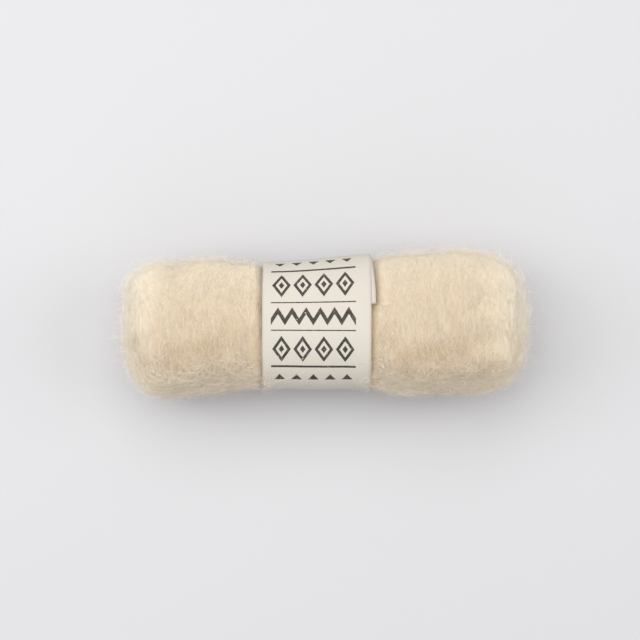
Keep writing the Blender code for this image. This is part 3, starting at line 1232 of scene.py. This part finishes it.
def laid_in_pieces(names, count, rng, weights, row, finish):
    """Scatters fibres over the roll and splits them into one piece for each name, along X."""
    skin = roll_skin()
    rows, columns = skin.scatter(rng, count * len(names), weights)
    by_row = np.argsort(rows).reshape(len(names), count)
    for name, part in zip(names, by_row):
        piece = lying_fibres(name, skin, rng, (rows[part], columns[part]), row)
        wear(piece, finish)


class BATT_OT_lay_nap(bpy.types.Operator):
    """Lays the carded fibres round both lobes and over both ends"""

    bl_idname = "batt.lay_nap"
    bl_label = "Lay the Nap"

    def execute(self, context):
        skin = roll_skin()
        rng = np.random.default_rng(context.scene.batt.wool.seed)
        under = rise(*UNDERSIDE, np.sin(skin.angles()))
        weights = skin.open_wool(NAP_STOP) * (1 - under * (1 - UNDERSIDE_SHARE))
        laid_in_pieces(NAP_PIECES, NAP_COUNT, rng, weights, NAP, wool_finish())
        return {"FINISHED"}


class BATT_OT_fray_lap(bpy.types.Operator):
    """Frays the lap edge along the roll"""

    bl_idname = "batt.fray_lap"
    bl_label = "Fray the Lap Edge"

    def execute(self, context):
        skin = roll_skin()
        rng = np.random.default_rng(context.scene.batt.wool.seed + 1)
        past_lap = skin.angles() - LAP_ANGLE
        ragged = RAGGED["change"] * waves(RAGGED["waves"], RAGGED["size"], skin.points)
        near = np.exp(-(((past_lap - FRAY_PAST_LAP + ragged) / FRAY_REACH) ** 2))
        start = skin.scatter(rng, FRINGE_COUNT, near * skin.open_wool(FRINGE_STOP))
        fringe = lying_fibres("lap_fringe", skin, rng, start, FRINGE)
        wear(fringe, frayed_finish())
        return {"FINISHED"}


class BATT_OT_loft_haze(bpy.types.Operator):
    """Lays the thin haze of lofted fibres between the nap and the roll's outline"""

    bl_idname = "batt.loft_haze"
    bl_label = "Loft the Haze"

    def execute(self, context):
        skin = roll_skin()
        rng = np.random.default_rng(context.scene.batt.wool.seed + 3)
        weights = skin.open_wool(HAZE_STOP) * skin.haze
        laid_in_pieces(HAZE_PIECES, LOFT_COUNT, rng, weights, LOFT, haze_finish())
        return {"FINISHED"}


class BATT_OT_raise_strays(bpy.types.Operator):
    """Raises the stray fibres that stand off the roll"""

    bl_idname = "batt.raise_strays"
    bl_label = "Raise the Strays"

    def execute(self, context):
        skin = roll_skin()
        rng = np.random.default_rng(context.scene.batt.wool.seed + 2)
        open_wool = skin.open_wool(STRAYS_STOP)
        ends = np.ones(open_wool.shape)
        ends[:DOME_ROWS], ends[-DOME_ROWS:] = END_STRAYS, END_STRAYS
        start = skin.scatter(rng, STRAY_COUNT, open_wool * ends)
        strays = standing_fibres("stray_fibres", skin, rng, start, STRAYS)
        wear(strays, haze_finish())
        low = np.exp(-(((skin.angles() - CURL_ANGLE) / CURL_REACH) ** 2))
        beside_band = rise(*CURLS_BY_BAND, band_reach(skin.points))
        start = skin.scatter(rng, CURL_COUNT, low * beside_band * open_wool)
        curls = standing_fibres("corner_curls", skin, rng, start, CURLS)
        wear(curls, frayed_finish())
        return {"FINISHED"}


FLOOR_SIZE = 6.0
ROOM_COLOUR = (1.0, 0.995, 0.99, 1.0)

# The soft lights: where each one stands, and its width and height.
LAMPS = {
    "window": ((-0.24, 0.43, 1.15), (1.6, 1.3)),
    "left lamp": ((-1.2, 0.1, 0.8), (1.0, 1.0)),
    "right lamp": ((1.2, 0.1, 0.8), (1.0, 1.0)),
    "front lamp": ((0.0, -1.1, 0.8), (1.2, 1.0)),
}


class BATT_OT_set_stage(bpy.types.Operator):
    """Sets the floor, the lights and the camera"""

    bl_idname = "batt.set_stage"
    bl_label = "Set the Stage"

    def execute(self, context):
        stage = context.scene.batt.stage
        deselect_all()
        bpy.ops.mesh.primitive_plane_add(size=FLOOR_SIZE)
        floor = context.active_object
        floor.name = floor.data.name = "floor"
        finish = Finish("pale surface")
        finish.set({"Base Color": tuple(stage.surface), "Roughness": 0.7})
        floor.data.materials.append(finish.material)

        middle_z = roll_skin().middle_z
        centre_x, centre_y = stage.view_centre
        camera = bpy.data.cameras.new("camera")
        camera.lens = stage.lens
        distance = stage.view_width / camera.sensor_width * stage.lens
        holder = bpy.data.objects.new("camera", camera)
        holder.location = (centre_x, centre_y, middle_z + distance)
        context.scene.collection.objects.link(holder)
        context.scene.camera = holder

        sides, front = stage.side_power, stage.front_power
        powers = (stage.window_power, sides, sides, front)
        for (name, (place, size)), power in zip(LAMPS.items(), powers):
            lamp = bpy.data.lights.new(name, "AREA")
            lamp.shape = "RECTANGLE"
            lamp.size, lamp.size_y = size
            lamp.energy = power
            stand = bpy.data.objects.new(name, lamp)
            stand.location = place
            aim = Vector((0.0, 0.0, 0.0)) - stand.location
            stand.rotation_euler = aim.to_track_quat("-Z", "Y").to_euler()
            context.scene.collection.objects.link(stand)

        world = bpy.data.worlds.new("room")
        world.use_nodes = True
        sky = world.node_tree.nodes["Background"]
        sky.inputs["Color"].default_value = ROOM_COLOUR
        sky.inputs["Strength"].default_value = stage.room_light
        context.scene.world = world
        context.scene.view_settings.view_transform = "Standard"
        return {"FINISHED"}


class BATT_PT_sidebar(bpy.types.Panel):
    """The settings, and the operators in their order"""

    bl_idname = "BATT_PT_sidebar"
    bl_label = "Wool Batt"
    bl_space_type = "VIEW_3D"
    bl_region_type = "UI"
    bl_category = "Wool Batt"

    def draw(self, context):
        batt = context.scene.batt
        for group in (batt.wool, batt.band, batt.stage):
            box = self.layout.box()
            for name in group.__annotations__:
                box.prop(group, name)
        for step in STEPS:
            self.layout.operator(step.bl_idname)


STEPS = (
    BATT_OT_wind_core,
    BATT_OT_wrap_band,
    BATT_OT_lay_nap,
    BATT_OT_fray_lap,
    BATT_OT_loft_haze,
    BATT_OT_raise_strays,
    BATT_OT_set_stage,
)
CLASSES = (WoolSettings, BandSettings, StageSettings, BattSettings, BATT_PT_sidebar, *STEPS)


def register():
    for kind in CLASSES:
        bpy.utils.register_class(kind)
    bpy.types.Scene.batt = PointerProperty(type=BattSettings)


def unregister():
    del bpy.types.Scene.batt
    for kind in reversed(CLASSES):
        bpy.utils.unregister_class(kind)


def main():
    register()
    bpy.ops.batt.wind_core()
    bpy.ops.batt.wrap_band()
    bpy.ops.batt.lay_nap()
    bpy.ops.batt.fray_lap()
    bpy.ops.batt.loft_haze()
    bpy.ops.batt.raise_strays()
    bpy.ops.batt.set_stage()


if __name__ == "__main__":
    main()
